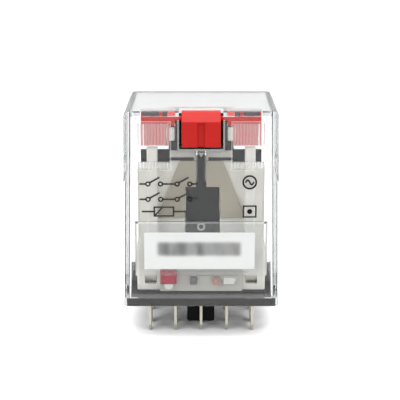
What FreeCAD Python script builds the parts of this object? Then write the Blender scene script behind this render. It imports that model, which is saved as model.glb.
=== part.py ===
import FreeCAD, Part
import math
import os
from FreeCAD import Vector as V

os.makedirs("parts", exist_ok=True)

# Plug-in control relay with 14 blades, clear cover and lockable test lever. Millimetres, +Z up.
# Origin: centre of the seating plane, the underside of the base. +X right, +Y from the lever side to the back.

# ---- driving dimensions -------------------------------------------------
BODY_W = 28.0        # width of the cover at its open end
BODY_D = 21.5        # depth of the cover at its open end
BODY_H = 36.0        # seating plane to the top of the cover
DRAFT_X = 0.72       # narrowing of each side at the top
DRAFT_BACK = 0.40    # the back face leans in by this at the top
WALL = 0.9           # cover wall
WALL_FRONT = 1.0
PAD_PROUD = 0.27     # side grip pads
PAD_Z = 23.4
BLADE_T = 0.5        # plug-in blades
BLADE_W = 2.6
BLADE_L = 6.3
COL_X = (-9.5, -4.75, 4.75, 9.5)   # the four poles
ROW_NC = 4.8         # depth of each row of blades behind the front face
ROW_NO = 8.95
ROW_COM = 15.3
ANGLE_MAX = 4.5      # armature travel, degrees
HINGE_T, HINGE_Z = 18.9, 24.95     # rounded end of the yoke, on which the armature rocks
LEVER_T, LEVER_Z = 1.85, 34.45     # lever axle
LEVER_W = 6.85
AXLE_R = 0.45
BORE_R = 0.50
BTN_T = 2.75         # test button axis
COIL_T = 14.1        # coil axis

Y0 = -BODY_D / 2.0   # front face


def box(x0, x1, t0, t1, z0, z1):
    """A box given by its span in x, depth behind the front face, and z."""
    return Part.makeBox(x1 - x0, t1 - t0, z1 - z0, V(x0, Y0 + t0, z0))


def cyl(r, x, t, z, h, d=(0, 0, 1)):
    return Part.makeCylinder(r, h, V(x, Y0 + t, z), V(*d))


def union(shapes):
    first = shapes[0]
    if len(shapes) > 1:
        first = first.fuse(shapes[1:])
    return first.removeSplitter()


def prism_yz(points, x0, x1):
    """A polygon in (depth, z), extruded along x."""
    p = [V(x0, Y0 + t, z) for t, z in points]
    return Part.Face(Part.makePolygon(p + [p[0]])).extrude(V(x1 - x0, 0, 0))


def prism_xz(points, t0, t1):
    """A polygon in (x, z), extruded along depth."""
    p = [V(x, Y0 + t0, z) for x, z in points]
    return Part.Face(Part.makePolygon(p + [p[0]])).extrude(V(0, t1 - t0, 0))


def prism_xt(points, z0, z1):
    """A polygon in (x, depth), extruded along z."""
    p = [V(x, Y0 + t, z0) for x, t in points]
    return Part.Face(Part.makePolygon(p + [p[0]])).extrude(V(0, 0, z1 - z0))


def rounded_wire(x0, x1, t0, t1, z, r):
    """A rounded rectangle at height z."""
    y0, y1 = Y0 + t0, Y0 + t1
    e = []
    k = r * (1 - math.sqrt(0.5))
    pts = [
        (V(x0 + r, y0, z), V(x1 - r, y0, z), V(x1 - k, y0 + k, z), V(x1, y0 + r, z)),
        (V(x1, y0 + r, z), V(x1, y1 - r, z), V(x1 - k, y1 - k, z), V(x1 - r, y1, z)),
        (V(x1 - r, y1, z), V(x0 + r, y1, z), V(x0 + k, y1 - k, z), V(x0, y1 - r, z)),
        (V(x0, y1 - r, z), V(x0, y0 + r, z), V(x0 + k, y0 + k, z), V(x0 + r, y0, z)),
    ]
    for a, b, m, c in pts:
        e.append(Part.LineSegment(a, b).toShape())
        e.append(Part.Arc(b, m, c).toShape())
    return Part.Wire(e)


def rounded_loft(bottom, top, z0, z1, r0, r1):
    return Part.makeLoft([rounded_wire(*bottom, z0, r0), rounded_wire(*top, z1, r1)], True, True)


def edges_at_z(shape, z, tol=0.02):
    return [e for e in shape.Edges if abs(e.BoundBox.ZMin - z) < tol and abs(e.BoundBox.ZMax - z) < tol]


def tube(points, r, bends=None):
    """A round wire along straight runs joined by tangent arcs. Points are (x, depth, z)."""
    p = [V(x, Y0 + t, z) for x, t, z in points]
    edges, start = [], p[0]
    for i in range(1, len(p) - 1):
        a, b, c = p[i - 1], p[i], p[i + 1]
        u, w = (a - b), (c - b)
        run = min(u.Length, w.Length)
        u.normalize()
        w.normalize()
        turn = math.pi - u.getAngle(w)
        rad = 0.45 * run / math.tan(turn / 2)
        if bends:
            rad = min(rad, bends)
        cut = rad * math.tan(turn / 2)
        s, e = b + u * cut, b + w * cut
        bis = (u + w)
        bis.normalize()
        centre = b + bis * (rad / math.cos(turn / 2))
        mid = centre - bis * rad
        if (s - start).Length > 1e-6:
            edges.append(Part.LineSegment(start, s).toShape())
        edges.append(Part.Arc(s, mid, e).toShape())
        start = e
    edges.append(Part.LineSegment(start, p[-1]).toShape())
    path = Part.Wire(edges)
    d = p[1] - p[0]
    d.normalize()
    ring = Part.Wire([Part.Circle(p[0], d, r).toShape()])
    solid = path.makePipeShell([ring], True, False)
    want = math.pi * r * r * path.Length
    if abs(solid.Volume - want) > 0.03 * want:
        raise RuntimeError("tube volume is off: %g for %g" % (solid.Volume, want))
    return solid


def helix(x, t, z, pitch, height, radius, wire):
    h = Part.makeHelix(pitch, height, radius)
    h.translate(V(x, Y0 + t, z))
    ring = Part.Wire([Part.Circle(V(x + radius, Y0 + t, z), V(0, 1, 0), wire).toShape()])
    return Part.Wire(h.Edges).makePipeShell([ring], True, True)


nodes = {}


def keep(name, *solids):
    flat = []
    for s in solids:
        s = s if isinstance(s, (list, tuple)) else [s]
        for one in s:
            flat += one.Solids if one.Solids else [one]
    nodes[name] = flat


# ---- cover --------------------------------------------------------------
hw0, hw1 = BODY_W / 2, BODY_W / 2 - DRAFT_X


def half_width(z):
    return hw0 + (hw1 - hw0) * z / BODY_H


outer = rounded_loft((-hw0, hw0, 0, BODY_D), (-hw1, hw1, 0, BODY_D - DRAFT_BACK), 0, BODY_H, 0.8, 0.8)
outer = outer.makeFillet(0.40, edges_at_z(outer, BODY_H))
# grip pads on the two sides, with vertical grooves
wide = rounded_loft((-hw0 - PAD_PROUD, hw0 + PAD_PROUD, 0, BODY_D), (-hw1 - PAD_PROUD, hw1 + PAD_PROUD, 0, BODY_D - DRAFT_BACK), 0, BODY_H, 0.8, 0.8)
for s in (-1, 1):
    lo, hi = (10.5, 16.0) if s > 0 else (-16.0, -10.5)
    pad = wide.common(box(lo, hi, 0.35, BODY_D - 1.6, PAD_Z, BODY_H - 0.8))
    outer = outer.fuse(pad)
grooves = []
for s in (-1, 1):
    for i in range(20):
        xg = s * (half_width(24.8) + PAD_PROUD)
        grooves.append(cyl(0.26, xg + s * 0.10, 1.9 + i * 0.88, 23.65, 3.4))
outer = outer.cut(grooves)
# finger ribs on the front, two groups on each side of the lever
ribs = []
for s in (-1, 1):
    for i in range(10):
        x = s * (5.55 + 0.27 + i * 0.55)
        ribs.append(cyl(0.26, x, 0.0, 29.95, 3.95))
        ribs.append(cyl(0.24, x, 0.0, 25.90, 1.20))
    # thin border ridge of the grip field
    a, b = sorted((s * 5.25, s * 11.25))
    ribs.append(box(a, b, -0.12, 0.2, 25.50, 25.70))
    ribs.append(box(a, b, -0.12, 0.2, 34.10, 34.30))
    ribs.append(box(a, a + 0.2, -0.12, 0.2, 25.50, 34.30))
    ribs.append(box(b - 0.2, b, -0.12, 0.2, 25.50, 34.30))
# frame of the lever opening
ribs.append(box(-4.15, 4.15, -0.22, 0.3, 29.10, 34.55))
outer = outer.fuse(ribs)
inner = rounded_loft((-hw0 + WALL, hw0 - WALL, WALL_FRONT, BODY_D - WALL), (-hw1 + WALL, hw1 - WALL, WALL_FRONT, BODY_D - WALL - DRAFT_BACK), -0.01, BODY_H - WALL, 0.45, 0.45)
inner = inner.makeFillet(0.25, edges_at_z(inner, BODY_H - WALL))
outer = outer.makeFillet(0.20, [e for e in edges_at_z(outer, 0.0)])
cover = outer.cut(inner)
# stepped rim that the base flange fits into
RIM = 0.32
rim = rounded_wire(-hw0 + RIM, hw0 - RIM, RIM, BODY_D - RIM, -0.5, 0.5)
cover = cover.cut(Part.Face(rim).extrude(V(0, 0, 2.05)))
# opening for the lever, across the top front edge
cover = cover.cut(box(-3.85, 3.85, -1.0, 3.22, 29.35, 37.0))
# relief in the roof over the cradle, and a pip under the opening
for s in (-1, 1):
    a, b = sorted((s * 4.55, s * 10.65))
    cover = cover.cut(box(a, b, 1.10, 3.30, 35.0, 35.62))
pip = prism_xz([(-0.55, 28.75), (0.55, 28.75), (0.0, 27.90)], -0.16, 0.2)
cover = cover.fuse(pip)
# seat for the name plate
PX, PZ0, PZ1 = 11.80, 5.95, 16.15
cover = cover.cut(box(-PX, PX, -0.6, 0.40, PZ0, PZ1))
# latch windows near the open end
for s in (-1, 1):
    a, b = sorted((s * 12.0, s * 15.0))
    cover = cover.cut(box(a, b, 7.2, 14.3, 1.62, 2.50))
keep("cover", cover.removeSplitter())

# ---- name plate and card --------------------------------------------------
g = 0.03
LX0, LX1, LZ0, LZ1 = -10.20, 9.60, 7.25, 14.05
plate = box(-PX + g, PX - g, -0.38, 0.40 - g, PZ0 + g, PZ1 - g)
front_edges = [e for e in plate.Edges if abs(e.BoundBox.YMax - (Y0 - 0.38)) < 1e-4 and abs(e.BoundBox.YMin - (Y0 - 0.38)) < 1e-4]
plate = plate.makeChamfer(0.30, front_edges)
plate = plate.cut(box(LX0 - 0.1, LX1 + 0.1, 0.16, 0.5, LZ0 - 0.1, LZ1 + 0.1))
plate = plate.fuse(cyl(0.72, 0.0, -0.55, 15.35, 0.4, (0, 1, 0)))
plate = plate.cut(cyl(0.42, 0.0, -0.60, 15.35, 0.22, (0, 1, 0)))
keep("nameplate_window", plate.removeSplitter())
keep("name_card", box(LX0, LX1, 0.19, 0.37, LZ0, LZ1))

# ---- blades ---------------------------------------------------------------
STRIP_W = 2.4
STRIP_T = 0.5


def blade(x, t, top):
    """The plug-in blade below the seat: thin in x, tapered tip, slotted eye."""
    h = BLADE_W / 2
    b = prism_yz([(t - h, top), (t - h, -BLADE_L + 1.3), (t - h + 0.75, -BLADE_L), (t + h - 0.75, -BLADE_L), (t + h, -BLADE_L + 1.3), (t + h, top)], x - BLADE_T / 2, x + BLADE_T / 2)
    zc, half = -3.3, 0.5
    eye = box(x - 1, x + 1, t - 0.6, t + 0.6, zc - half, zc + half)
    for dz in (-half, half):
        eye = eye.fuse(cyl(0.6, x - 1, t, zc + dz, 2, (1, 0, 0)))
    return b.cut(eye)


def strip(x, t, z0, z1):
    return box(x - STRIP_W / 2, x + STRIP_W / 2, t - STRIP_T / 2, t + STRIP_T / 2, z0, z1)


CONTACT_Z = 12.6
NC_TOP = NO_TOP = 14.2
for i, x in enumerate(COL_X, 1):
    nc = blade(x, ROW_NC, 2.25).fuse(strip(x, ROW_NC, 0.8, NC_TOP)).removeSplitter()
    nc = nc.cut(box(x - 0.3, x + 0.3, ROW_NC - 1, ROW_NC + 1, 6.2, 8.6))
    keep("nc_terminal_%d" % i, nc)
    no = blade(x, ROW_NO, 2.25).fuse(strip(x, ROW_NO, 0.8, NO_TOP)).removeSplitter()
    no = no.cut(box(x - 0.3, x + 0.3, ROW_NO - 1, ROW_NO + 1, 6.2, 8.6))
    keep("no_terminal_%d" % i, no)
    top = 4.4 if abs(x) < 6 else 7.5
    keep("com_terminal_%d" % i, blade(x, ROW_COM, top))
front_coil = blade(0, ROW_NC, 2.25).fuse(strip(0, ROW_NC, 0.8, 8.3)).removeSplitter()
keep("coil_terminal_front", front_coil)
keep("coil_terminal_rear", blade(0, ROW_COM, 4.6))

# fixed contacts: a bar of contact metal riveted near the top of each strip
nc_bars, no_bars = [], []
for x in COL_X:
    a = box(x - 1.0, x + 1.0, ROW_NC + 0.25, ROW_NC + 0.60, CONTACT_Z - 0.55, CONTACT_Z + 0.55)
    b = box(x - 1.0, x + 1.0, ROW_NO - 0.60, ROW_NO - 0.25, CONTACT_Z - 0.55, CONTACT_Z + 0.55)
    a = a.makeFillet(0.15, [e for e in a.Edges if e.BoundBox.YMin > Y0 + ROW_NC + 0.59])
    b = b.makeFillet(0.15, [e for e in b.Edges if e.BoundBox.YMax < Y0 + ROW_NO - 0.59])
    nc_bars.append(a)
    no_bars.append(b)
keep("nc_contacts", nc_bars)
keep("no_contacts", no_bars)

# ---- base -------------------------------------------------------------------
base = box(-13.60, 13.60, 0.38, 21.12, 0.0, 1.5)
base = base.makeFillet(0.55, [e for e in base.Edges if e.BoundBox.ZLength > 1.4])
base = base.fuse(box(-11.6, 11.6, 1.9, 19.5, 1.5, 2.3))
# key post between the coil blades
key = box(-2.6, 2.5, 6.55, 12.9, -5.6, 0.2)
key = key.makeChamfer(0.35, [e for e in key.Edges if abs(e.BoundBox.ZMax + 5.6) < 1e-4])
base = base.fuse(key)
# stand-off ribs under the yoke
for s in (-1, 1):
    for t0, t1 in ((11.0, 13.0), (16.95, 18.1)):
        a, b = sorted((s * 1.5, s * 3.0))
        base = base.fuse(box(a, b, t0, t1, 2.2, 5.0))
    # latch wedges
    p = [(s * 11.4, 1.72), (s * 12.9, 1.72), (s * 13.55, 1.90), (s * 13.1, 2.3), (s * 11.4, 2.3)]
    base = base.fuse(prism_xz(p, 7.6, 13.9))
cuts = []
for x in COL_X + (0.0,):
    for row in (ROW_NC, ROW_NO, ROW_COM):
        if x == 0.0 and row == ROW_NO:
            continue
        cuts.append(box(x - BLADE_T / 2, x + BLADE_T / 2, row - BLADE_W / 2, row + BLADE_W / 2, -1, 2.8 if row != ROW_COM else 4.0))
        # countersunk entry round each blade
        cuts.append(box(x - 0.62, x + 0.62, row - BLADE_W / 2 - 0.3, row + BLADE_W / 2 + 0.3, -1, 0.35))
        if row != ROW_COM:
            cuts.append(box(x - STRIP_W / 2, x + STRIP_W / 2, row - STRIP_T / 2, row + STRIP_T / 2, 0.8, 4.0))
base = base.cut(cuts)
keep("base", base.removeSplitter())

# ---- contact housing: front shield, posts, partitions ---------------------
SEAT = 2.3            # top of the base, on which the housing and the board stand
wall = box(-11.0, 11.0, 3.05, 3.9, SEAT, 26.2).fuse(box(-5.5, 5.5, 3.05, 3.9, 26.1, 28.8)).removeSplitter()
wall = wall.cut(box(-2.9, 3.4, 2, 5, 9.0, 21.9))
wall = wall.cut(box(-0.9, 0.9, 2, 5, 21.5, 29.0))
wall = wall.cut(box(-1.5, 1.5, 3.4, 5, 2.2, 9.2))
parts = [wall]
for s in (-1, 1):
    def span(a, b):
        return sorted((s * a, s * b))
    a, b = span(7.7, 9.6)
    post = box(a, b, 1.3, 2.92, 9.5, 29.3)
    post = post.makeFillet(0.35, [e for e in post.Edges if e.BoundBox.ZLength > 18 and e.BoundBox.YMax < Y0 + 1.31])
    parts.append(post)
    parts.append(box(*span(7.7, 9.6), 2.9, 3.1, 9.5, 26.2))
    # small gusset
    parts.append(prism_xz([(s * 7.7, 16.0), (s * 9.6, 16.0), (s * 9.6, 17.5), (s * 7.7, 19.0)], 3.9, 4.3))
    parts.append(box(*span(10.9, 11.7), 3.05, 9.5, SEAT, 10.5))
    parts.append(box(*span(6.80, 7.40), 3.8, 9.5, SEAT, 15.0))
    parts.append(box(*span(10.9, 11.7), 8.9, 9.5, SEAT, 24.5))
floor = box(-11.7, 11.7, 3.8, 9.5, SEAT, 2.8)
parts.append(floor)
housing = union(parts)
hc = []
for x in COL_X + (0.0,):
    hc.append(box(x - STRIP_W / 2 - 0.05, x + STRIP_W / 2 + 0.05, ROW_NC - 0.30, ROW_NC + 0.30, 2.2, 3.0))
    if x:
        hc.append(box(x - STRIP_W / 2 - 0.05, x + STRIP_W / 2 + 0.05, ROW_NO - 0.30, ROW_NO + 0.30, 2.2, 3.0))
for s in (-1, 1):
    a, b = sorted((s * 8.1, s * 10.25))
    hc.append(box(a, b, 2.5, 4.2, 3.4, 4.9))
housing = housing.cut(hc)
housing = housing.makeFillet(0.45, [e for e in housing.Edges if e.BoundBox.ZLength > 6 and abs(abs(e.BoundBox.Center.x) - 11.7) < 0.01 and e.BoundBox.YMax < Y0 + 3.06])
keep("contact_housing", housing.removeSplitter())

# darker shield in front of the housing, wider at the bottom, slotted for the carrier
shield = prism_xz([(-7.9, 16.2), (7.9, 16.2), (3.8, 26.7), (-3.8, 26.7)], 2.55, 3.02)
shield = shield.cut([box(-2.9, 3.4, 2, 5, 9.0, 21.9), box(-0.9, 0.9, 2, 5, 21.5, 27.0)])
shield = shield.cut([box(7.65, 9.65, 1.2, 3.2, 9, 30), box(-9.65, -7.65, 1.2, 3.2, 9, 30)])
keep("front_shield", shield.removeSplitter())

# dark bracket behind the posts
bracket = []
for s in (-1, 1):
    a, b = sorted((s * 5.6, s * 10.7))
    bracket.append(box(a, b, 2.97, 3.85, 26.3, 28.60))
bracket.append(box(-5.8, 5.8, 2.55, 3.02, 26.80, 27.25))
bracket = union(bracket)
bracket = bracket.cut(box(-1.3, 1.3, 2.4, 4.0, 25.8, 27.4))
keep("post_bracket", bracket)

# ---- indicator board ---------------------------------------------------------
board = box(-7.5, 7.5, 2.25, 2.80, SEAT, 8.8)
keep("led_board", board)
lens = box(-7.40, -4.45, 1.25, 2.25, 3.95, 6.95)
lens = lens.makeFillet(0.2, [e for e in lens.Edges if e.BoundBox.YMax < Y0 + 1.26])
keep("led_lens", lens)
keep("led_body", cyl(0.8, -5.9, 1.45, 3.70, 0.8, (0, 1, 0)).common(box(-6.9, -4.9, 1.4, 2.25, 2.9, 3.95)))
keep("led_diode", cyl(0.62, -1.35, 1.75, 3.90, 1.20).cut(box(-3, 0, 2.25, 3, 3, 6)))
res = cyl(0.60, 2.75, 1.75, 3.85, 1.25)
keep("led_resistor", res.cut(box(1, 4, 2.25, 3, 3, 6)))
keep("led_capacitor", box(4.1, 6.1, 1.35, 2.25, 3.95, 5.15))

# ---- magnet: yoke, core, bobbin, winding ---------------------------------------
yoke = box(-6.5, 6.5, 10.6, 19.5, 5.0, 6.2).fuse([box(-6.5, 6.5, 18.3, 19.5, 5.0, HINGE_Z), cyl(0.6, -6.5, HINGE_T, HINGE_Z, 13.0, (1, 0, 0))]).removeSplitter()
outer_corner = [e for e in yoke.Edges if e.BoundBox.XLength > 12 and abs(e.BoundBox.ZMin - 5.0) < 1e-4 and abs(e.BoundBox.YMax - (Y0 + 19.5)) < 1e-4]
yoke = yoke.makeFillet(1.0, outer_corner)
yoke = yoke.cut(cyl(1.6, 0, COIL_T, 4.9, 1.4))
core = cyl(2.4, 0, COIL_T, 6.2, 18.8).fuse(cyl(1.6, 0, COIL_T, 5.0, 1.3)).removeSplitter()
d_out = cyl(2.0, 0, COIL_T, 24.55, 0.45).cut(box(-3, 3, COIL_T + 0.5, COIL_T + 4, 24, 26))
d_in = cyl(1.45, 0, COIL_T, 24.0, 2.0).cut(box(-3, 3, COIL_T, COIL_T + 4, 23, 27))
ring = d_out.cut(d_in)
core = core.cut(ring)
keep("core", core)
keep("shading_ring", ring)
keep("yoke", yoke)


def stadium(hx, ht, z0, z1):
    """Rounded-end block about the coil axis."""
    r = ht
    b = box(-hx + r, hx - r, COIL_T - ht, COIL_T + ht, z0, z1)
    return union([b, cyl(r, -hx + r, COIL_T, z0, z1 - z0), cyl(r, hx - r, COIL_T, z0, z1 - z0)])


BZ0, BZ1 = 6.25, 24.3
bobbin = union([stadium(7.2, 4.05, BZ0, BZ0 + 1.0), stadium(7.2, 4.05, BZ1 - 0.9, BZ1), stadium(3.2, 3.1, BZ0, BZ1)])
bobbin = bobbin.cut(cyl(2.43, 0, COIL_T, 5, 22))
keep("bobbin", bobbin)
winding = stadium(6.7, 3.75, BZ0 + 1.0, BZ1 - 0.9).cut(stadium(3.2, 3.1, BZ0, BZ1))
keep("coil_winding", winding)
tape = stadium(6.86, 3.91, BZ0 + 1.0, BZ1 - 0.9).cut(stadium(6.7, 3.75, BZ0, BZ1))
keep("coil_tape", tape)

# leads of the coil
lead_a = tube([(0.95, 5.25, 7.6), (1.75, 6.2, 7.6), (2.2, 8.0, 7.7), (2.2, 10.00, 7.7)], 0.15)
lead_b = tube([(0.45, 13.45, 3.30), (4.0, 13.45, 3.30), (7.60, 13.45, 3.35), (7.75, 13.5, 6.6), (7.20, 13.5, 8.1)], 0.15)
keep("coil_leads", lead_a, lead_b)

# hinge leaf at the back of the yoke, and its two rivets
leaf = union([box(-3.5, 3.5, 19.5, 19.72, 17.0, 26.3), box(-2.6, -1.4, 19.5, 19.72, 26.2, 27.0), box(1.4, 2.6, 19.5, 19.72, 26.2, 27.0)])
keep("hinge_leaf_spring", leaf)
keep("yoke_rivets", *[cyl(0.8, x, 19.72, 18.8, 0.35, (0, 1, 0)) for x in (-2.2, 2.2)])

# ---- armature group ------------------------------------------------------------
plate_a = box(-5.5, 5.5, 7.5, 19.35, 25.6, 26.8)
leg = box(-3.0, 3.0, 7.5, 8.6, 18.4, 26.8)
arm = plate_a.fuse(leg).removeSplitter()
bend = [e for e in arm.Edges if abs(e.BoundBox.ZMin - 26.8) < 1e-4 and abs(e.BoundBox.YMax - (Y0 + 7.5)) < 1e-4]
arm = arm.makeFillet(0.6, bend)
arm = arm.makeFillet(0.8, [e for e in arm.Edges if e.BoundBox.ZLength > 1.1 and e.BoundBox.ZLength < 1.3 and e.BoundBox.YMin > Y0 + 19.3])
keep("armature", arm)

SPR_T = 6.60
carrier = union([
    box(-2.75, 3.3, 5.9, 7.5, 9.3, 21.5),
    box(-0.65, 0.65, 5.9, 7.4, 21.3, 28.4),
    box(-0.65, 0.65, 1.5, 7.4, 27.4, 28.4),
])
tip = [e for e in carrier.Edges if e.BoundBox.YMax < Y0 + 1.51 and e.BoundBox.XLength > 1.2 and e.BoundBox.ZMin < 27.5]
carrier = carrier.makeChamfer(0.6, tip)
cc = []
for x in COL_X:
    cc.append(box(x - 1.2, x + 1.2, SPR_T, SPR_T + 0.18, 16.0, 21.0))
    cc.append(box(x - 0.9, x + 0.9, 5.0, SPR_T, 16.0, 17.6))
holder = box(-10.9, 10.9, 5.9, 7.5, 16.6, 20.4).cut(box(-2.75, 3.3, 5.8, 6.9, 16.5, 20.5))
keep("spring_holder", holder.cut(cc).removeSplitter())
keep("contact_carrier", carrier.cut(box(-2.85, 3.4, 6.9, 7.6, 16.6, 20.4)).removeSplitter())

contacts = []
for i, x in enumerate(COL_X, 1):
    s = box(x - 1.2, x + 1.2, SPR_T, SPR_T + 0.18, 11.2, 21.9)
    s = s.cut(box(x - 0.12, x + 0.12, SPR_T - 1, SPR_T + 1, 11.0, 15.8))
    s = s.cut(box(x - 1.3, x - 0.55, SPR_T - 1, SPR_T + 1, 21.0, 22.5))
    s = s.cut(box(x + 0.55, x + 1.3, SPR_T - 1, SPR_T + 1, 21.0, 22.5))
    keep("moving_spring_%d" % i, s)
    for dx in (-0.64, 0.64):
        nc_face = ROW_NC + 0.60 + 0.04
        f = cyl(0.46, x + dx, nc_face, CONTACT_Z, SPR_T - nc_face, (0, 1, 0))
        no_gap = math.sin(math.radians(ANGLE_MAX)) * (HINGE_Z - CONTACT_Z + 0.5) + 0.08
        r_face = ROW_NO - 0.60 - no_gap
        b = cyl(0.46, x + dx, SPR_T + 0.18, CONTACT_Z, r_face - SPR_T - 0.18, (0, 1, 0))
        contacts += [f, b]
keep("moving_contacts", contacts)
keep("armature_rivets", *[cyl(0.7, x, 8.60, 20.3, 0.35, (0, 1, 0)) for x in (-1.9, 1.9)])
keep("position_flag", box(-2.4, 2.4, 6.2, 7.0, 28.4, 28.9).fuse(box(-2.4, 2.4, 6.2, 6.6, 28.4, 31.0)).removeSplitter())

# flexible braids from each moving spring to its common blade
for i, x in enumerate(COL_X, 1):
    if abs(x) > 6:
        pts = [(x, 6.80, 21.45), (x, 8.6, 21.45), (x, 10.9, 19.9), (x, 11.9, 16.0), (x, 12.1, 11.6), (x, 12.3, 8.6), (x, 12.6, 6.8), (x, 13.98, 6.8)]
    else:
        s = 1 if x > 0 else -1
        pts = [(x, 6.80, 21.45), (x, 8.1, 21.45), (x, 9.45, 20.2), (x, 9.66, 16.4), (x, 9.66, 11.6), (x, 9.70, 7.6), (x, 10.2, 4.7), (x, 12.0, 3.75), (x, 13.98, 3.75)]
    keep("braid_%d" % i, tube(pts, 0.24))

# ---- test button, lever and their holders ----------------------------------------
guide = union([
    box(-4.55, -3.88, 1.22, 4.80, 28.9, 35.0),
    box(3.88, 4.55, 1.22, 4.80, 28.9, 35.0),
    box(-4.55, 4.55, 4.10, 4.80, 28.9, 35.0),
    box(-5.7, 5.7, 1.30, 4.80, 28.9, 29.6),
    box(-5.7, -3.9, 1.30, 4.80, 28.9, 30.5),
    box(3.9, 5.7, 1.30, 4.80, 28.9, 30.5),
])
guide = guide.cut(cyl(0.66, 0, BTN_T, 28, 3))
# open slots for the lever's axle
guide = guide.cut([box(-4.7, 4.7, 0.9, LEVER_T, LEVER_Z - 0.6, LEVER_Z + 0.6), cyl(0.6, -4.7, LEVER_T, LEVER_Z, 9.4, (1, 0, 0))])
keep("button_guide", guide)
stops = [box(4.60, 5.70, 1.40, 3.05, 30.55, 33.0), box(-5.70, -4.60, 1.40, 3.05, 30.55, 33.0)]
keep("lever_stops", *[b.makeFillet(0.15, b.Edges) for b in stops])
button = union([cyl(0.95, 0, BTN_T, 31.8, 0.7), cyl(0.60, 0, BTN_T, 28.45, 3.6)])
button = button.makeFillet(0.25, [e for e in button.Edges if abs(e.BoundBox.ZMin - 32.5) < 1e-4])
keep("test_button", button)
spring = helix(0, BTN_T, 29.73, 0.65, 1.95, 0.80, 0.10)
keep("button_spring", spring)

cradle = []
for s in (-1, 1):
    def span(a, b):
        return sorted((s * a, s * b))
    bar = box(*span(4.62, 10.5), 1.25, 3.20, 33.3, 35.0)
    cradle.append(bar)
    cradle.append(box(*span(5.75, 10.4), 1.25, 2.10, 29.8, 33.4))
    cradle.append(box(*span(4.62, 5.75), 3.1, 5.6, 33.3, 35.0))
cradle.append(box(-5.75, 5.75, 4.95, 5.6, 33.3, 35.0))
cradle = union(cradle)
cradle = cradle.cut([cyl(BORE_R, -5.72, LEVER_T, LEVER_Z, 1.3, (1, 0, 0)), cyl(BORE_R, 4.45, LEVER_T, LEVER_Z, 1.27, (1, 0, 0))])
# each detent spring is a leaf on edge in a slot of the cradle, held by a red bridge in the middle
cuts, leaves = [], []
for s in (-1, 1):
    a, b = sorted((s * 5.85, s * 10.25))
    cuts.append(box(a, b, 1.42, 1.90, 34.40, 35.1))
    leaf = box(a + 0.03, b - 0.03, 1.45, 1.87, 34.43, 35.52)
    a, b = sorted((s * 6.8, s * 7.3))
    leaf = leaf.cut(box(a - 0.04, b + 0.04, 1.0, 2.5, 34.82, 36))
    leaves.append(leaf)
cradle = cradle.cut(cuts)
for s in (-1, 1):
    a, b = sorted((s * 6.8, s * 7.3))
    cradle = cradle.fuse(box(a, b, 1.25, 2.10, 34.86, 35.48))
    a, b = sorted((s * 10.25, s * 10.5))
    cradle = cradle.fuse(box(a, b, 1.25, 2.10, 34.86, 35.48))
cradle = cradle.removeSplitter()
keep("lever_cradle", cradle)
keep("detent_springs", *leaves)

REACH = 1.42         # radius of the lever's heel about the axle
profile = [(-0.18, 29.65), (-0.18, 34.15), (1.40, 35.57), (1.65, 35.72)]
for k in range(0, 8):
    a = math.radians(66 - k * 16.5)
    profile.append((LEVER_T + REACH * math.cos(a), LEVER_Z + REACH * math.sin(a)))
profile += [(1.10, 32.65), (1.10, 29.65)]
lever = prism_yz(profile, -LEVER_W / 2, LEVER_W / 2)
soft = [e for e in lever.Edges if e.BoundBox.ZLength > 3 and e.BoundBox.YMax < Y0 - 0.17]
lever = lever.makeFillet(0.25, soft)
lever = lever.cut(prism_xt([(-0.70, -0.3), (0.70, -0.3), (0.50, 0.30), (-0.50, 0.30)], 29.0, 33.9))
lever = union([lever, cyl(AXLE_R, -5.55, LEVER_T, LEVER_Z, 11.1, (1, 0, 0))])
keep("test_lever", lever)

# ---- write --------------------------------------------------------------------
for name, solids in nodes.items():
    bad = [s for s in solids if not s.isValid() or s.Volume <= 0]
    if bad:
        raise RuntimeError("node %s has a bad solid" % name)
    shape = solids[0] if len(solids) == 1 else Part.makeCompound(solids)
    shape.exportStep("parts/%s.step" % name)
print(len(nodes), "nodes", "volume", round(sum(s.Volume for n in nodes.values() for s in n), 1))
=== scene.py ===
import math

import bmesh
import bpy
import numpy as np
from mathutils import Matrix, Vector


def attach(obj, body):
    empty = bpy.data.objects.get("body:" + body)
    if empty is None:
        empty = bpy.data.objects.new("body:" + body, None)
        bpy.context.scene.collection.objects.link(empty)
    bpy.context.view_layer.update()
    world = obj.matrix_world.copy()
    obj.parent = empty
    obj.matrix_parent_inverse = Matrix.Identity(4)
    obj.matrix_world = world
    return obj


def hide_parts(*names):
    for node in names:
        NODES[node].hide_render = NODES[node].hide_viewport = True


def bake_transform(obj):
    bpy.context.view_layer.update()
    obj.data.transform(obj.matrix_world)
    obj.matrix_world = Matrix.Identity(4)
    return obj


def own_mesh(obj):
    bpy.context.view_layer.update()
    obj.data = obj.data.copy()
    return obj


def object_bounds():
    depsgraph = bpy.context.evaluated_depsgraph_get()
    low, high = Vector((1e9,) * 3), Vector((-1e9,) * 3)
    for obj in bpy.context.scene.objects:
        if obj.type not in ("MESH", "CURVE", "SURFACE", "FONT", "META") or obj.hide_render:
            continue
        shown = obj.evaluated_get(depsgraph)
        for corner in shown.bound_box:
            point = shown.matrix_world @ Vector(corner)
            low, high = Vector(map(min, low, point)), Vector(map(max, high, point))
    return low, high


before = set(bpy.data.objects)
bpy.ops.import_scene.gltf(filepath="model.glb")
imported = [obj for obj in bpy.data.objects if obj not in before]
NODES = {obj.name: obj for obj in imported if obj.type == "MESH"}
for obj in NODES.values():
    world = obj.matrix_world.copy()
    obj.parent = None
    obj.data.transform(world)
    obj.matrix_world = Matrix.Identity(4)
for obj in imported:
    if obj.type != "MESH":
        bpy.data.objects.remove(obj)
CAD_LO, CAD_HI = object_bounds()
MM = 0.001
Y0 = -10.75            # front face of the cover, millimetres


def P(x, t, z):
    """A point given as x, depth behind the front face, z, in millimetres."""
    return Vector((x * MM, (Y0 + t) * MM, z * MM))


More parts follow.
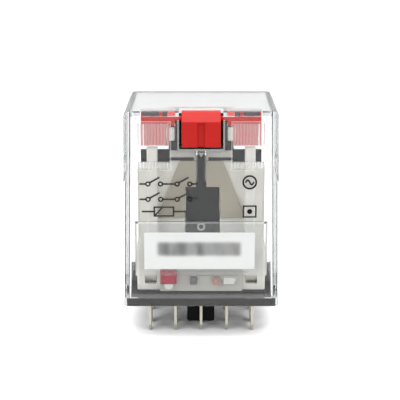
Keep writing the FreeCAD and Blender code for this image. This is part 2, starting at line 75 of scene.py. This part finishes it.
# ---------------------------------------------------------------- materials
def new_mat(name):
    m = bpy.data.materials.new(name)
    m.use_nodes = True
    nt = m.node_tree
    return m, nt, nt.nodes["Principled BSDF"], nt.nodes["Material Output"]


def coords(nt):
    return nt.nodes.new("ShaderNodeTexCoord").outputs["Object"]


def noise(nt, src, scale, detail=3.0, rough=0.55, stretch=None):
    if stretch:
        mp = nt.nodes.new("ShaderNodeMapping")
        mp.inputs["Scale"].default_value = stretch
        nt.links.new(src, mp.inputs["Vector"])
        src = mp.outputs["Vector"]
    n = nt.nodes.new("ShaderNodeTexNoise")
    n.inputs["Scale"].default_value = scale
    n.inputs["Detail"].default_value = detail
    n.inputs["Roughness"].default_value = rough
    nt.links.new(src, n.inputs["Vector"])
    return n.outputs["Fac"]


def ramp(nt, fac, stops):
    r = nt.nodes.new("ShaderNodeValToRGB")
    while len(r.color_ramp.elements) < len(stops):
        r.color_ramp.elements.new(0.5)
    for e, (pos, col) in zip(r.color_ramp.elements, stops):
        e.position = pos
        e.color = (*col, 1.0) if len(col) == 3 else col
    nt.links.new(fac, r.inputs["Fac"])
    return r.outputs["Color"]


def remap(nt, fac, lo, hi, a=0.3, b=0.7):
    r = nt.nodes.new("ShaderNodeMapRange")
    r.inputs["From Min"].default_value = a
    r.inputs["From Max"].default_value = b
    r.inputs["To Min"].default_value = lo
    r.inputs["To Max"].default_value = hi
    nt.links.new(fac, r.inputs["Value"])
    return r.outputs["Result"]


def math_node(nt, op, *args):
    n = nt.nodes.new("ShaderNodeMath")
    n.operation = op
    for i, a in enumerate(args):
        if isinstance(a, (int, float)):
            n.inputs[i].default_value = a
        else:
            nt.links.new(a, n.inputs[i])
    return n.outputs[0]


def bump(nt, height, bsdf, strength, distance):
    b = nt.nodes.new("ShaderNodeBump")
    b.inputs["Strength"].default_value = strength
    b.inputs["Distance"].default_value = distance
    nt.links.new(height, b.inputs["Height"])
    nt.links.new(b.outputs["Normal"], bsdf.inputs["Normal"])
    return b


def scaled(col, k):
    return tuple(min(1.0, c * k) for c in col)


def moulded(name, col, rough=0.38, vary=0.06, grain=2600.0, bump_mm=0.004, coat=0.0, sss=0.0, streak=None, spec=0.5):
    """Injection-moulded resin: faint flow mottling, fine die texture, uneven gloss."""
    m, nt, b, _ = new_mat(name)
    src = coords(nt)
    big = noise(nt, src, 320.0, 4.0, 0.6, streak)
    b.inputs["Base Color"].default_value = (*col, 1.0)
    nt.links.new(ramp(nt, big, [(0.25, scaled(col, 1 - vary)), (0.55, col), (0.8, scaled(col, 1 + vary))]), b.inputs["Base Color"])
    fine = noise(nt, src, grain, 4.0, 0.6)
    nt.links.new(remap(nt, fine, rough - 0.07, rough + 0.09), b.inputs["Roughness"])
    bump(nt, fine, b, 0.35, bump_mm * MM)
    b.inputs["Specular IOR Level"].default_value = spec
    if coat:
        b.inputs["Coat Weight"].default_value = coat
        b.inputs["Coat Roughness"].default_value = 0.12
    if sss:
        b.inputs["Subsurface Weight"].default_value = sss
        b.inputs["Subsurface Radius"].default_value = (1.0, 0.6, 0.5)
        b.inputs["Subsurface Scale"].default_value = 0.0006
    return m


def metal(name, col, rough=0.28, brush=(1, 1, 14), vary=0.10, metallic=1.0, scratch=0.35):
    """Rolled or plated strip: drawn grain along one axis, faint tarnish."""
    m, nt, b, _ = new_mat(name)
    src = coords(nt)
    b.inputs["Metallic"].default_value = metallic
    tarnish = noise(nt, src, 260.0, 4.0, 0.65)
    nt.links.new(ramp(nt, tarnish, [(0.25, scaled(col, 1 - vary)), (0.6, col), (0.85, scaled(col, 1 + vary * 0.6))]), b.inputs["Base Color"])
    grain = noise(nt, src, 900.0, 3.0, 0.6, brush)
    nt.links.new(remap(nt, grain, rough - 0.08, rough + 0.12), b.inputs["Roughness"])
    bump(nt, grain, b, scratch, 0.003 * MM)
    return m


def clear(name, tint=(0.985, 0.99, 0.992), rough=0.02, haze=0.0, frost_top=0.0, ior=1.55, proud=0.0, level=0.04, satin=None, absorb=0.0):
    """Clear polycarbonate. Shadow rays pass, so that what is inside is lit as through the real moulding."""
    m, nt, b, out = new_mat(name)
    src = coords(nt)
    b.inputs["Base Color"].default_value = (*tint, 1.0)
    b.inputs["Transmission Weight"].default_value = 1.0
    b.inputs["IOR"].default_value = ior
    wear = noise(nt, src, 420.0, 4.0, 0.6)
    r = remap(nt, wear, rough * 0.6, rough * 1.9)
    if frost_top:
        geo = nt.nodes.new("ShaderNodeNewGeometry")
        sep = nt.nodes.new("ShaderNodeSeparateXYZ")
        nt.links.new(geo.outputs["Normal"], sep.inputs["Vector"])
        up = remap(nt, sep.outputs["Z"], 0.0, frost_top, 0.90, 0.995)
        add = nt.nodes.new("ShaderNodeMath")
        add.operation = "ADD"
        nt.links.new(r, add.inputs[0])
        nt.links.new(up, add.inputs[1])
        r = add.outputs[0]
    nt.links.new(r, b.inputs["Roughness"])
    wave = noise(nt, src, 90.0, 2.0, 0.5)
    bump(nt, wave, b, 0.25, 0.02 * MM)
    shell = b.outputs["BSDF"]
    if haze:
        dif = nt.nodes.new("ShaderNodeBsdfDiffuse")
        dif.inputs["Color"].default_value = (0.95, 0.95, 0.94, 1)
        hz = nt.nodes.new("ShaderNodeMixShader")
        fac = remap(nt, wear, haze * 0.7, haze * 1.3)
        if proud:
            # ribs, rims and grip pads stand out of the polished faces and are satin
            sep2 = nt.nodes.new("ShaderNodeSeparateXYZ")
            nt.links.new(src, sep2.inputs["Vector"])
            front = remap(nt, sep2.outputs["Y"], proud, 0.0, (Y0 - level - 0.06) * MM, (Y0 - level) * MM)
            ax = math_node(nt, "ABSOLUTE", sep2.outputs["X"])
            lean = math_node(nt, "MULTIPLY_ADD", sep2.outputs["Z"], 0.02, ax)
            side = remap(nt, lean, 0.0, proud * 0.45, 14.06 * MM, 14.16 * MM)
            fac = math_node(nt, "ADD", fac, front)
            if satin:
                lo_z, hi_z, amount = satin
                a = remap(nt, sep2.outputs["Z"], 0.0, amount, (lo_z - 0.1) * MM, lo_z * MM)
                b2 = remap(nt, sep2.outputs["Z"], amount, 0.0, hi_z * MM, (hi_z + 0.3) * MM)
                fac = math_node(nt, "ADD", fac, math_node(nt, "MINIMUM", a, b2))
            fac = math_node(nt, "ADD", fac, side)
        nt.links.new(fac, hz.inputs["Fac"])
        nt.links.new(shell, hz.inputs[1])
        nt.links.new(dif.outputs["BSDF"], hz.inputs[2])
        shell = hz.outputs["Shader"]
    lp = nt.nodes.new("ShaderNodeLightPath")
    tr = nt.nodes.new("ShaderNodeBsdfTransparent")
    tr.inputs["Color"].default_value = (0.93, 0.935, 0.94, 1)
    mix = nt.nodes.new("ShaderNodeMixShader")
    nt.links.new(lp.outputs["Is Shadow Ray"], mix.inputs["Fac"])
    nt.links.new(shell, mix.inputs[1])
    nt.links.new(tr.outputs["BSDF"], mix.inputs[2])
    nt.links.new(mix.outputs["Shader"], out.inputs["Surface"])
    if absorb:
        vol = nt.nodes.new("ShaderNodeVolumeAbsorption")
        vol.inputs["Color"].default_value = (0.80, 0.825, 0.83, 1)
        vol.inputs["Density"].default_value = absorb
        nt.links.new(vol.outputs["Volume"], out.inputs["Volume"])
    return m


def card(name):
    """White film card with one soft grey printed band, and the fibre of the film."""
    m, nt, b, _ = new_mat(name)
    src = coords(nt)
    sep = nt.nodes.new("ShaderNodeSeparateXYZ")
    nt.links.new(src, sep.inputs["Vector"])

    def soft_band(sock, lo, hi, soft):
        a = remap(nt, sock, 0.0, 1.0, lo - soft, lo + soft)
        c = remap(nt, sock, 1.0, 0.0, hi - soft, hi + soft)
        for s in (a, c):
            s.node.interpolation_type = "SMOOTHERSTEP"
        mul = nt.nodes.new("ShaderNodeMath")
        mul.operation = "MULTIPLY"
        nt.links.new(a, mul.inputs[0])
        nt.links.new(c, mul.inputs[1])
        return mul.outputs[0]

    bx = soft_band(sep.outputs["X"], -7.75 * MM, 7.00 * MM, 0.75 * MM)
    bz = soft_band(sep.outputs["Z"], 9.80 * MM, 12.20 * MM, 0.70 * MM)
    blot = noise(nt, src, 640.0, 1.0, 0.4, (1.0, 1.0, 0.25))
    blot = remap(nt, blot, 0.62, 1.0, 0.35, 0.65)
    v = None
    for s in (bx, bz, blot):
        if v is None:
            v = s
            continue
        mul = nt.nodes.new("ShaderNodeMath")
        mul.operation = "MULTIPLY"
        nt.links.new(v, mul.inputs[0])
        nt.links.new(s, mul.inputs[1])
        v = mul.outputs[0]
    nt.links.new(ramp(nt, v, [(0.0, (0.93, 0.935, 0.92)), (0.5, (0.40, 0.40, 0.39)), (1.0, (0.15, 0.15, 0.15))]), b.inputs["Base Color"])
    fibre = noise(nt, src, 2200.0, 4.0, 0.7)
    nt.links.new(remap(nt, fibre, 0.42, 0.6), b.inputs["Roughness"])
    bump(nt, fibre, b, 0.2, 0.003 * MM)
    return m


M = {}
M["cover"] = clear("clear_cover", rough=0.02, haze=0.006, frost_top=0.10, proud=0.26, satin=(1.6, 2.2, 0.075), absorb=45.0)
M["window"] = clear("clear_window", rough=0.02, haze=0.012, proud=0.30, level=0.40)
M["card"] = card("card_film")
M["black"] = moulded("black_resin", (0.008, 0.008, 0.009), rough=0.45, vary=0.25, bump_mm=0.006, spec=0.10)
M["ivory"] = moulded("ivory_resin", (0.80, 0.785, 0.725), rough=0.42, vary=0.04, sss=0.05)
M["beige"] = moulded("beige_resin", (0.40, 0.365, 0.285), rough=0.42, vary=0.05, sss=0.03)
# dark resin: the real black of the contact carrier, and painted shade on the button guide, which is made dark to stand
# for the shadow in the gap round the test lever
M["dark"] = moulded("dark_resin", (0.016, 0.0165, 0.017), rough=0.45, vary=0.2, bump_mm=0.005, spec=0.28)
M["red"] = moulded("red_resin", (0.51, 0.010, 0.006), rough=0.38, vary=0.06, coat=0.04, sss=0.04, spec=0.28)
M["red2"] = moulded("red_cradle_resin", (0.58, 0.018, 0.012), rough=0.40, vary=0.07, sss=0.05, spec=0.4)
M["yellow"] = moulded("yellow_resin", (0.83, 0.52, 0.02), rough=0.36, vary=0.06, sss=0.05)
M["white"] = moulded("white_resin", (0.78, 0.765, 0.72), rough=0.36, vary=0.04, sss=0.05)
M["blade"] = metal("nickel_blade", (0.74, 0.71, 0.595), rough=0.34, brush=(1, 1, 0.08), vary=0.12)
M["silver"] = metal("contact_silver", (0.86, 0.85, 0.82), rough=0.24, brush=(1, 1, 1), vary=0.08)
M["bronze"] = metal("bronze_strip", (0.76, 0.60, 0.42), rough=0.28, brush=(1, 1, 0.08))
M["tinned"] = metal("tinned_braid", (0.70, 0.52, 0.38), rough=0.38, brush=(1, 1, 1), vary=0.2)
M["copper"] = metal("copper", (0.80, 0.42, 0.26), rough=0.3, brush=(1, 1, 1), vary=0.15)
M["enamel"] = moulded("enamelled_wire", (0.42, 0.09, 0.03), rough=0.22, vary=0.2, coat=0.6)
M["iron"] = metal("plated_iron", (0.62, 0.63, 0.64), rough=0.36, brush=(0.08, 1, 1), vary=0.08)
M["steel"] = metal("spring_steel", (0.55, 0.55, 0.56), rough=0.26, brush=(1, 1, 0.1))
M["dark_steel"] = metal("blackened_steel", (0.10, 0.10, 0.105), rough=0.4, brush=(0.1, 1, 1), metallic=0.6)
M["tape"] = moulded("white_tape", (0.78, 0.76, 0.69), rough=0.48, vary=0.05, bump_mm=0.004)
M["board"] = moulded("board_mask", (0.55, 0.54, 0.49), rough=0.36, vary=0.05, coat=0.2)
M["grey"] = moulded("grey_epoxy", (0.17, 0.17, 0.165), rough=0.35, vary=0.12)
M["pink"] = moulded("lacquered_part", (0.50, 0.27, 0.23), rough=0.3, vary=0.1, coat=0.3)
M["lens"] = moulded("red_lens", (0.44, 0.018, 0.045), rough=0.22, vary=0.08, coat=0.3, sss=0.1, spec=0.3)
M["ink"] = moulded("printed_ink", (0.035, 0.034, 0.034), rough=0.5, vary=0.25)


def pick(n):
    table = {
        "cover": "cover", "nameplate_window": "window", "name_card": "card", "base": "black",
        # button_guide takes the dark resin as painted shade: the gap round the test lever is shadow, drawn here as a
        # dark part
        "contact_housing": "ivory", "front_shield": "beige", "contact_carrier": "dark", "button_guide": "dark", "post_bracket": "dark",
        "test_lever": "red", "lever_cradle": "red2", "test_button": "yellow", "bobbin": "white",
        "spring_holder": "white", "lever_stops": "ivory", "position_flag": "white", "led_capacitor": "white",
        "led_body": "white", "nc_contacts": "silver", "no_contacts": "silver", "moving_contacts": "silver",
        "shading_ring": "copper", "coil_winding": "enamel", "coil_leads": "enamel", "core": "iron",
        "yoke": "iron", "armature": "iron", "hinge_leaf_spring": "steel", "yoke_rivets": "steel",
        "armature_rivets": "steel", "button_spring": "steel", "detent_springs": "dark_steel",
        "coil_tape": "tape", "led_board": "board", "led_lens": "lens", "led_diode": "grey", "led_resistor": "pink",
    }
    if n in table:
        return table[n]
    if "_terminal_" in n:
        return "blade"
    if n.startswith("moving_spring"):
        return "bronze"
    return "tinned"


BEVEL = {
    "contact_housing": 0.12, "contact_carrier": 0.12, "lever_cradle": 0.12, "button_guide": 0.08, "post_bracket": 0.08,
    "test_lever": 0.12, "base": 0.12, "bobbin": 0.06, "armature": 0.08, "yoke": 0.08, "led_board": 0.04,
    "led_capacitor": 0.06, "spring_holder": 0.08, "front_shield": 0.08, "position_flag": 0.04, "name_card": 0.0,
}
for name, obj in NODES.items():
    obj.data.materials.clear()
    obj.data.materials.append(M[pick(name)])
    w = BEVEL.get(name, 0.05 if "_terminal_" in name else 0.0)
    if w:
        weld = obj.modifiers.new("weld", "WELD")
        weld.merge_threshold = 1e-6
        flat = obj.modifiers.new("flat", "DECIMATE")
        flat.decimate_type = "DISSOLVE"
        flat.angle_limit = math.radians(0.6)
        bv = obj.modifiers.new("soft_edges", "BEVEL")
        bv.width = w * MM
        bv.segments = 3
        bv.limit_method = "ANGLE"
        bv.angle_limit = math.radians(38)
        bv.harden_normals = False
        bv.use_clamp_overlap = True
        wn = obj.modifiers.new("normals", "WEIGHTED_NORMAL")
        wn.keep_sharp = True


# ---------------------------------------------------------------- new pieces
def piece(name, verts, faces, mat, body, smooth=True):
    me = bpy.data.meshes.new(name)
    me.from_pydata([tuple(v) for v in verts], [], faces)
    me.update()
    ob = bpy.data.objects.new(name, me)
    bpy.context.scene.collection.objects.link(ob)
    if smooth:
        for p in me.polygons:
            p.use_smooth = True
    me.materials.append(mat)
    if body:
        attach(ob, body)
    return ob


def smooth_path(points, per=8):
    """Catmull-Rom through the points."""
    pts = [np.array(p, float) for p in points]
    pts = [2 * pts[0] - pts[1]] + pts + [2 * pts[-1] - pts[-2]]
    out = []
    for i in range(1, len(pts) - 2):
        p0, p1, p2, p3 = pts[i - 1:i + 3]
        for k in range(per):
            u = k / per
            out.append(0.5 * (2 * p1 + (p2 - p0) * u + (2 * p0 - 5 * p1 + 4 * p2 - p3) * u * u + (3 * p1 - p0 - 3 * p2 + p3) * u ** 3))
    out.append(pts[-2])
    return out


def tube_mesh(path, radius, sides=8, closed_ends=True):
    """Vertices and faces of a round tube that follows path."""
    path = [Vector(p) for p in path]
    verts, faces = [], []
    t0 = (path[1] - path[0]).normalized()
    n = t0.orthogonal().normalized()
    for i, p in enumerate(path):
        a = path[max(0, i - 1)]
        b = path[min(len(path) - 1, i + 1)]
        t = (b - a).normalized()
        n = (n - t * n.dot(t)).normalized()
        bi = t.cross(n)
        for k in range(sides):
            an = 2 * math.pi * k / sides
            verts.append(p + (n * math.cos(an) + bi * math.sin(an)) * radius)
    m = len(path)
    for i in range(m - 1):
        for k in range(sides):
            k2 = (k + 1) % sides
            faces.append((i * sides + k, i * sides + k2, (i + 1) * sides + k2, (i + 1) * sides + k))
    if closed_ends:
        faces.append(tuple(range(sides))[::-1])
        faces.append(tuple((m - 1) * sides + k for k in range(sides)))
    return verts, faces


def join_meshes(sets):
    verts, faces = [], []
    for v, f in sets:
        o = len(verts)
        verts += list(v)
        faces += [tuple(i + o for i in face) for face in f]
    return verts, faces


# flexible braids of fine tinned wire: seven strands twisted round a core wire, with closed round ends
def braid(name, points, radius):
    line = smooth_path([P(*p) for p in points], 14)
    line = [Vector(p) for p in line]
    n = (line[1] - line[0]).orthogonal().normalized()
    sets = []
    strands = 7
    length = 0.0
    frames = []
    for i, p in enumerate(line):
        a, b = line[max(0, i - 1)], line[min(len(line) - 1, i + 1)]
        t = (b - a).normalized()
        n = (n - t * n.dot(t)).normalized()
        frames.append((p, n.copy(), t.cross(n), length))
        if i + 1 < len(line):
            length += (line[i + 1] - p).length
    for s in range(strands):
        path = []
        for p, nn, bb, d in frames:
            an = 2 * math.pi * s / strands + d / (2.0 * MM) * 2 * math.pi
            r = radius * 0.66 * MM
            path.append(p + (nn * math.cos(an) + bb * math.sin(an)) * r)
        sets.append(tube_mesh(path, radius * 0.33 * MM, 6))
    sets.append(tube_mesh([f[0] for f in frames], radius * 0.40 * MM, 6))
    v, f = join_meshes(sets)
    ob = piece(name + "_strands", v, f, M["tinned"], None)
    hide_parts(name)
    return ob


for i, x in enumerate((-9.5, -4.75, 4.75, 9.5), 1):
    if abs(x) > 6:
        pts = [(x, 6.82, 21.45), (x, 8.4, 21.45), (x, 10.6, 19.9), (x, 11.75, 16.0), (x, 12.05, 11.6), (x, 12.3, 8.6), (x, 12.75, 7.0), (x, 13.96, 6.8)]
    else:
        pts = [(x, 6.82, 21.45), (x, 8.0, 21.4), (x, 9.35, 20.0), (x, 9.64, 16.4), (x, 9.64, 11.6), (x, 9.70, 7.6), (x, 10.3, 4.9), (x, 12.0, 3.85), (x, 13.96, 3.75)]
    b = braid("braid_%d" % i, pts, 0.24)
    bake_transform(b)

# return spring of the test button, three and a half turns with ground ends
turns, r_c, r_w, z0, z1 = 3.6, 0.80, 0.10, 29.74, 31.68
path = []
for k in range(int(turns * 40) + 1):
    u = k / (turns * 40)
    e = min(1.0, max(0.0, (u - 0.12) / 0.76))
    z = z0 + (z1 - z0) * e
    a = 2 * math.pi * turns * u
    path.append(P(r_c * math.cos(a), 2.75 + r_c * math.sin(a), z))
v, f = tube_mesh(path, r_w * MM, 8)
sp = piece("button_spring_coil", v, f, M["steel"], "frame")
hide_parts("button_spring")
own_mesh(sp)


# ---------------------------------------------------------------- printed marks
def stroke(points, width, close=False):
    """A flat inked line on the front face, with round ends. Points are (x, z) in millimetres."""
    w = width / 2
    sets = []
    pts = list(points)
    if close:
        pts = pts + [pts[0]]
    t_front, t_back = -0.020, 0.010
    for (x0, z0_), (x1, z1_) in zip(pts, pts[1:]):
        dx, dz = x1 - x0, z1_ - z0_
        ln = math.hypot(dx, dz)
        if ln < 1e-9:
            continue
        a0 = math.atan2(dz, dx)
        ring = []
        for k in range(7):
            an = a0 + math.pi / 2 + math.pi * k / 6
            ring.append((x0 + w * math.cos(an), z0_ + w * math.sin(an)))
        for k in range(7):
            an = a0 - math.pi / 2 + math.pi * k / 6
            ring.append((x1 + w * math.cos(an), z1_ + w * math.sin(an)))
        n = len(ring)
        verts = [P(x, t_front, z) for x, z in ring] + [P(x, t_back, z) for x, z in ring]
        faces = [tuple(range(n)), tuple(range(2 * n - 1, n - 1, -1))]
        faces += [(k, k + n, (k + 1) % n + n, (k + 1) % n) for k in range(n)]
        sets.append((verts, faces))
    return sets


def ring_pts(cx, cz, r, n=28, a0=0.0, a1=2 * math.pi):
    return [(cx + r * math.cos(a0 + (a1 - a0) * k / n), cz + r * math.sin(a0 + (a1 - a0) * k / n)) for k in range(n + 1)]


INK = 0.32
marks = []


def switch(x, z, up):
    """A make contact drawn as two terminals and a slanted arm."""
    out = stroke([(x, z), (x + 1.0, z)], INK)
    out += stroke(ring_pts(x + 1.37, z, 0.36, 16), 0.24)
    out += stroke([(x + 1.67, z + 0.22 * up), (x + 3.3, z + 1.15 * up)], INK)
    out += stroke(ring_pts(x + 3.6, z, 0.36, 16), 0.24)
    out += stroke([(x + 3.97, z), (x + 4.9, z)], INK)
    return out


# wiring diagram: four contacts over a coil
for z in (23.05, 20.25):
    marks += switch(-10.75, z, 1)
    marks += switch(-5.6, z, 1)
marks += stroke([(-10.4, 18.0), (-8.3, 18.0)], INK)
marks += stroke([(-8.3, 17.2), (-4.9, 17.2), (-4.9, 18.8), (-8.3, 18.8)], 0.30, True)
marks += stroke([(-8.1, 17.4), (-7.0, 18.6)], 0.28)
marks += stroke([(-4.9, 18.0), (-2.7, 18.0)], INK)
# right-hand marks: a wave in a ring, and a square with a dot
marks += stroke(ring_pts(8.55, 23.35, 1.15, 32), 0.30)
marks += stroke([(7.85 + 1.4 * k / 16, 23.35 + 0.42 * math.sin(2 * math.pi * k / 16)) for k in range(17)], 0.28)
marks += stroke([(7.5, 17.0), (9.7, 17.0), (9.7, 19.0), (7.5, 19.0)], 0.30, True)
marks += stroke(ring_pts(8.6, 18.0, 0.25, 16), 0.40)
v, f = join_meshes(marks)
piece("printed_diagram", v, f, M["ink"], "frame", smooth=False)

# solder fillets and tracks on the indicator board
sets = []
for x, z, w, h in ((-1.35, 3.75, 1.2, 0.3), (-1.35, 5.25, 1.2, 0.3), (2.75, 3.70, 1.2, 0.3), (2.75, 5.25, 1.2, 0.3), (3.95, 4.55, 0.28, 1.2), (6.25, 4.55, 0.28, 1.2)):
    n = 10
    ring = []
    for k in range(n * 2):
        a = 2 * math.pi * k / (n * 2)
        ring.append((math.copysign(abs(math.cos(a)) ** 0.5, math.cos(a)) * w / 2, math.copysign(abs(math.sin(a)) ** 0.5, math.sin(a)) * h / 2))
    verts = [P(x + a, 2.25, z + b) for a, b in ring] + [P(x + a * 0.8, 2.17, z + b * 0.8) for a, b in ring] + [P(x + a * 0.4, 2.13, z + b * 0.4) for a, b in ring]
    m = len(ring)
    faces = [tuple(range(m)), tuple(range(3 * m - 1, 2 * m - 1, -1))]
    for j in (0, 1):
        faces += [(j * m + k, (j + 1) * m + k, (j + 1) * m + (k + 1) % m, j * m + (k + 1) % m) for k in range(m)]
    sets.append((verts, faces))
v, f = join_meshes(sets)
piece("solder_fillets", v, f, M["silver"], "frame")


# ---------------------------------------------------------------- stage, lights, camera
FLOOR_Z = CAD_LO.z
bm = bmesh.new()
R = 1.6
grid = bmesh.ops.create_grid(bm, x_segments=24, y_segments=24, size=R)
for vtx in bm.verts:
    vtx.co.z = FLOOR_Z - 0.00002
me = bpy.data.meshes.new("floor")
bm.to_mesh(me)
bm.free()
floor = bpy.data.objects.new("floor", me)
bpy.context.scene.collection.objects.link(floor)
fm, fnt, fb, _ = new_mat("floor_white")
fsep = fnt.nodes.new("ShaderNodeSeparateXYZ")
fnt.links.new(coords(fnt), fsep.inputs["Vector"])
fnt.links.new(remap(fnt, fsep.outputs["Y"], 0.42, 0.92, -0.035, 0.0), fb.inputs["Base Color"])
fb.inputs["Roughness"].default_value = 0.55
fb.inputs["Specular IOR Level"].default_value = 0.25
lit = fnt.nodes.new("ShaderNodeBsdfDiffuse")
lit.inputs["Color"].default_value = (1.24, 1.24, 1.24, 1)
seen = fnt.nodes.new("ShaderNodeLightPath")
fmix = fnt.nodes.new("ShaderNodeMixShader")
fnt.links.new(seen.outputs["Is Camera Ray"], fmix.inputs["Fac"])
fnt.links.new(fb.outputs["BSDF"], fmix.inputs[1])
fnt.links.new(lit.outputs["BSDF"], fmix.inputs[2])
fnt.links.new(fmix.outputs["Shader"], fnt.nodes["Material Output"].inputs["Surface"])
me.materials.append(fm)

world = bpy.data.worlds.new("studio")
bpy.context.scene.world = world
world.use_nodes = True
bg = world.node_tree.nodes["Background"]
bg.inputs["Color"].default_value = (1, 1, 1, 1)
bg.inputs["Strength"].default_value = 1.0


def area(name, loc, aim, size, power, size_y=None):
    li = bpy.data.lights.new(name, "AREA")
    li.shape = "RECTANGLE"
    li.size = size
    li.size_y = size_y or size
    li.energy = power
    ob = bpy.data.objects.new(name, li)
    bpy.context.scene.collection.objects.link(ob)
    ob.location = loc
    ob.rotation_mode = "QUATERNION"
    ob.rotation_quaternion = (Vector(aim) - Vector(loc)).to_track_quat("-Z", "Y")
    return ob


area("top_box", (0.0, 0.02, 0.32), (0, 0, 0.015), 0.30, 0.62)
area("left_box", (-0.30, -0.26, 0.20), (0, 0, 0.015), 0.24, 0.48)
area("right_box", (0.30, -0.26, 0.20), (0, 0, 0.015), 0.24, 0.48)

cam_d = bpy.data.cameras.new("camera")
cam = bpy.data.objects.new("camera", cam_d)
bpy.context.scene.collection.objects.link(cam)
bpy.context.scene.camera = cam
F_PX = 1052.0
PITCH = 15.62
cam_d.sensor_width = 36.0
cam_d.lens = F_PX / 400.0 * 36.0
cam_d.clip_start, cam_d.clip_end = 0.01, 10.0
cam.location = (-0.00020, (Y0 - 179.1) * MM, 70.2 * MM)
cam.rotation_euler = (math.radians(90.0 - PITCH), 0, 0)
cam_d.dof.use_dof = False

scene = bpy.context.scene
scene.view_settings.view_transform = "Standard"
scene.view_settings.look = "None"
scene.cycles.max_bounces = 20
scene.cycles.diffuse_bounces = 5
scene.cycles.glossy_bounces = 6
scene.cycles.transmission_bounces = 16
scene.cycles.transparent_max_bounces = 24
scene.cycles.caustics_reflective = False
